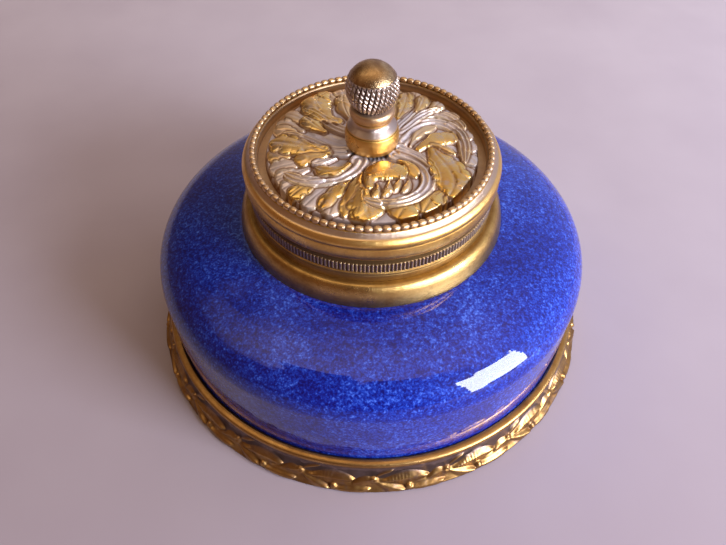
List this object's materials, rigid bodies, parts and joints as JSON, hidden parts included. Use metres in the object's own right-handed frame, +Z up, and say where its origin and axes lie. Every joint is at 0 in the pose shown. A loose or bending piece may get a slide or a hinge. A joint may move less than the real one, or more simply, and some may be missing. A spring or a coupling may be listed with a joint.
{
  "type": "desk inkwell",
  "caption": "Round desk inkwell: glazed ceramic bowl in a garlanded brass foot, with a brass collar, a lift-out glass ink cup and a relief-cast lift-off lid with an acorn knob.",
  "frame": {"origin": "centre of the underside, on the surface that the inkwell stands on", "axes": "+Z up along the common axis of body, collar, cup and lid; the object is round, so +X and +Y are free"},
  "size_m": [0.125, 0.125, 0.0844],
  "materials": {
    "blue_glaze": "glossy powder-blue glaze with a fine mottle",
    "gilt_brass": "aged gilt brass, satin and worn brighter on the high rounds",
    "relief_brass": "cast and chased gilt brass, bright on the high leaves and grey in the recesses",
    "bronze": "brown patinated bronze, worn on the crown",
    "plain_brass": "plain turned brass, dull inside",
    "steel": "plain darkened steel",
    "clear_glass": "clear pressed glass",
    "cork": "dark compressed cork",
    "felt": "dark green felt"
  },
  "bodies": {
    "base": {"felt_pad": "felt", "base_plate": "plain_brass", "base_ring": "gilt_brass", "laurel_band": "relief_brass", "ceramic_body": "blue_glaze", "collar_gasket": "cork", "collar_flange": "gilt_brass", "collar_ring": "gilt_brass", "well_can": "plain_brass", "tie_rod": "steel", "rod_washer": "steel", "rod_nut": "steel"},
    "cup": {"ink_cup": "clear_glass"},
    "lid": {"lid_rim": "gilt_brass", "lid_sleeve": "plain_brass", "bead_ring": "gilt_brass", "lid_dome": "relief_brass", "knob_base": "gilt_brass", "acorn_cup": "bronze", "acorn_nut": "bronze", "knob_stud": "steel", "knob_washer": "plain_brass", "knob_nut": "plain_brass"}
  },
  "joints": [
    {"name": "cup_lift", "type": "slide", "parent": "base", "child": "cup", "axis": [0, 0, 1], "range_m": [0, 0.05]},
    {"name": "lid_lift", "type": "slide", "parent": "cup", "child": "lid", "axis": [0, 0, 1], "range_m": [0, 0.06]}
  ]
}
